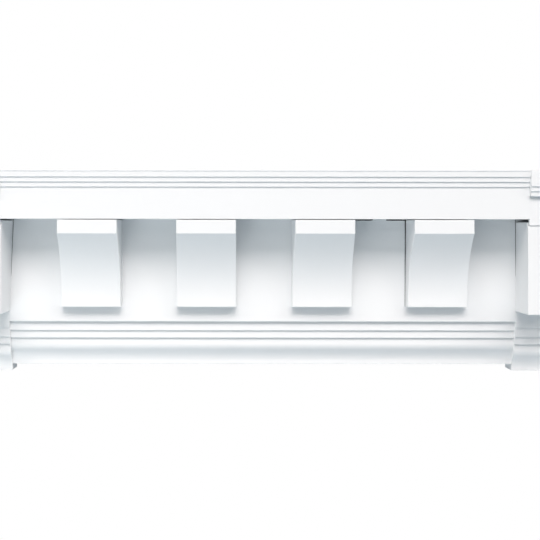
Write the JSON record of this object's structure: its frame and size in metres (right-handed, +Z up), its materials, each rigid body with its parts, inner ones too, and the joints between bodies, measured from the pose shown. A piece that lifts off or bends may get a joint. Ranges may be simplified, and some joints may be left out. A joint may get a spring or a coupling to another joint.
{
  "type": "dentil moulding",
  "caption": "White painted timber entablature length: stepped cornice over a frieze with concave dentil blocks, ogee bed moulding and short end heads, cut square.",
  "frame": {"origin": "on the flat back that meets the wall, at the middle of the span and half way up the frieze", "axes": "+X to the viewer's right along the moulding, +Y into the wall, +Z up; the moulded front looks towards -Y"},
  "size_m": [1.1404, 0.1358, 0.4006],
  "materials": {
    "satin_paint": "white satin paint on planed timber"
  },
  "bodies": {
    "root": {"cornice_main": "satin_paint", "frieze_board_left": "satin_paint", "frieze_board_right": "satin_paint", "dentil_1": "satin_paint", "dentil_2": "satin_paint", "dentil_3": "satin_paint", "dentil_4": "satin_paint", "bed_moulding_main": "satin_paint", "left_end_cornice": "satin_paint", "left_end_frieze": "satin_paint", "left_end_block": "satin_paint", "left_end_bed_moulding": "satin_paint", "right_end_cornice": "satin_paint", "right_end_frieze": "satin_paint", "right_end_block": "satin_paint", "right_end_bed_moulding": "satin_paint"}
  },
  "joints": []
}
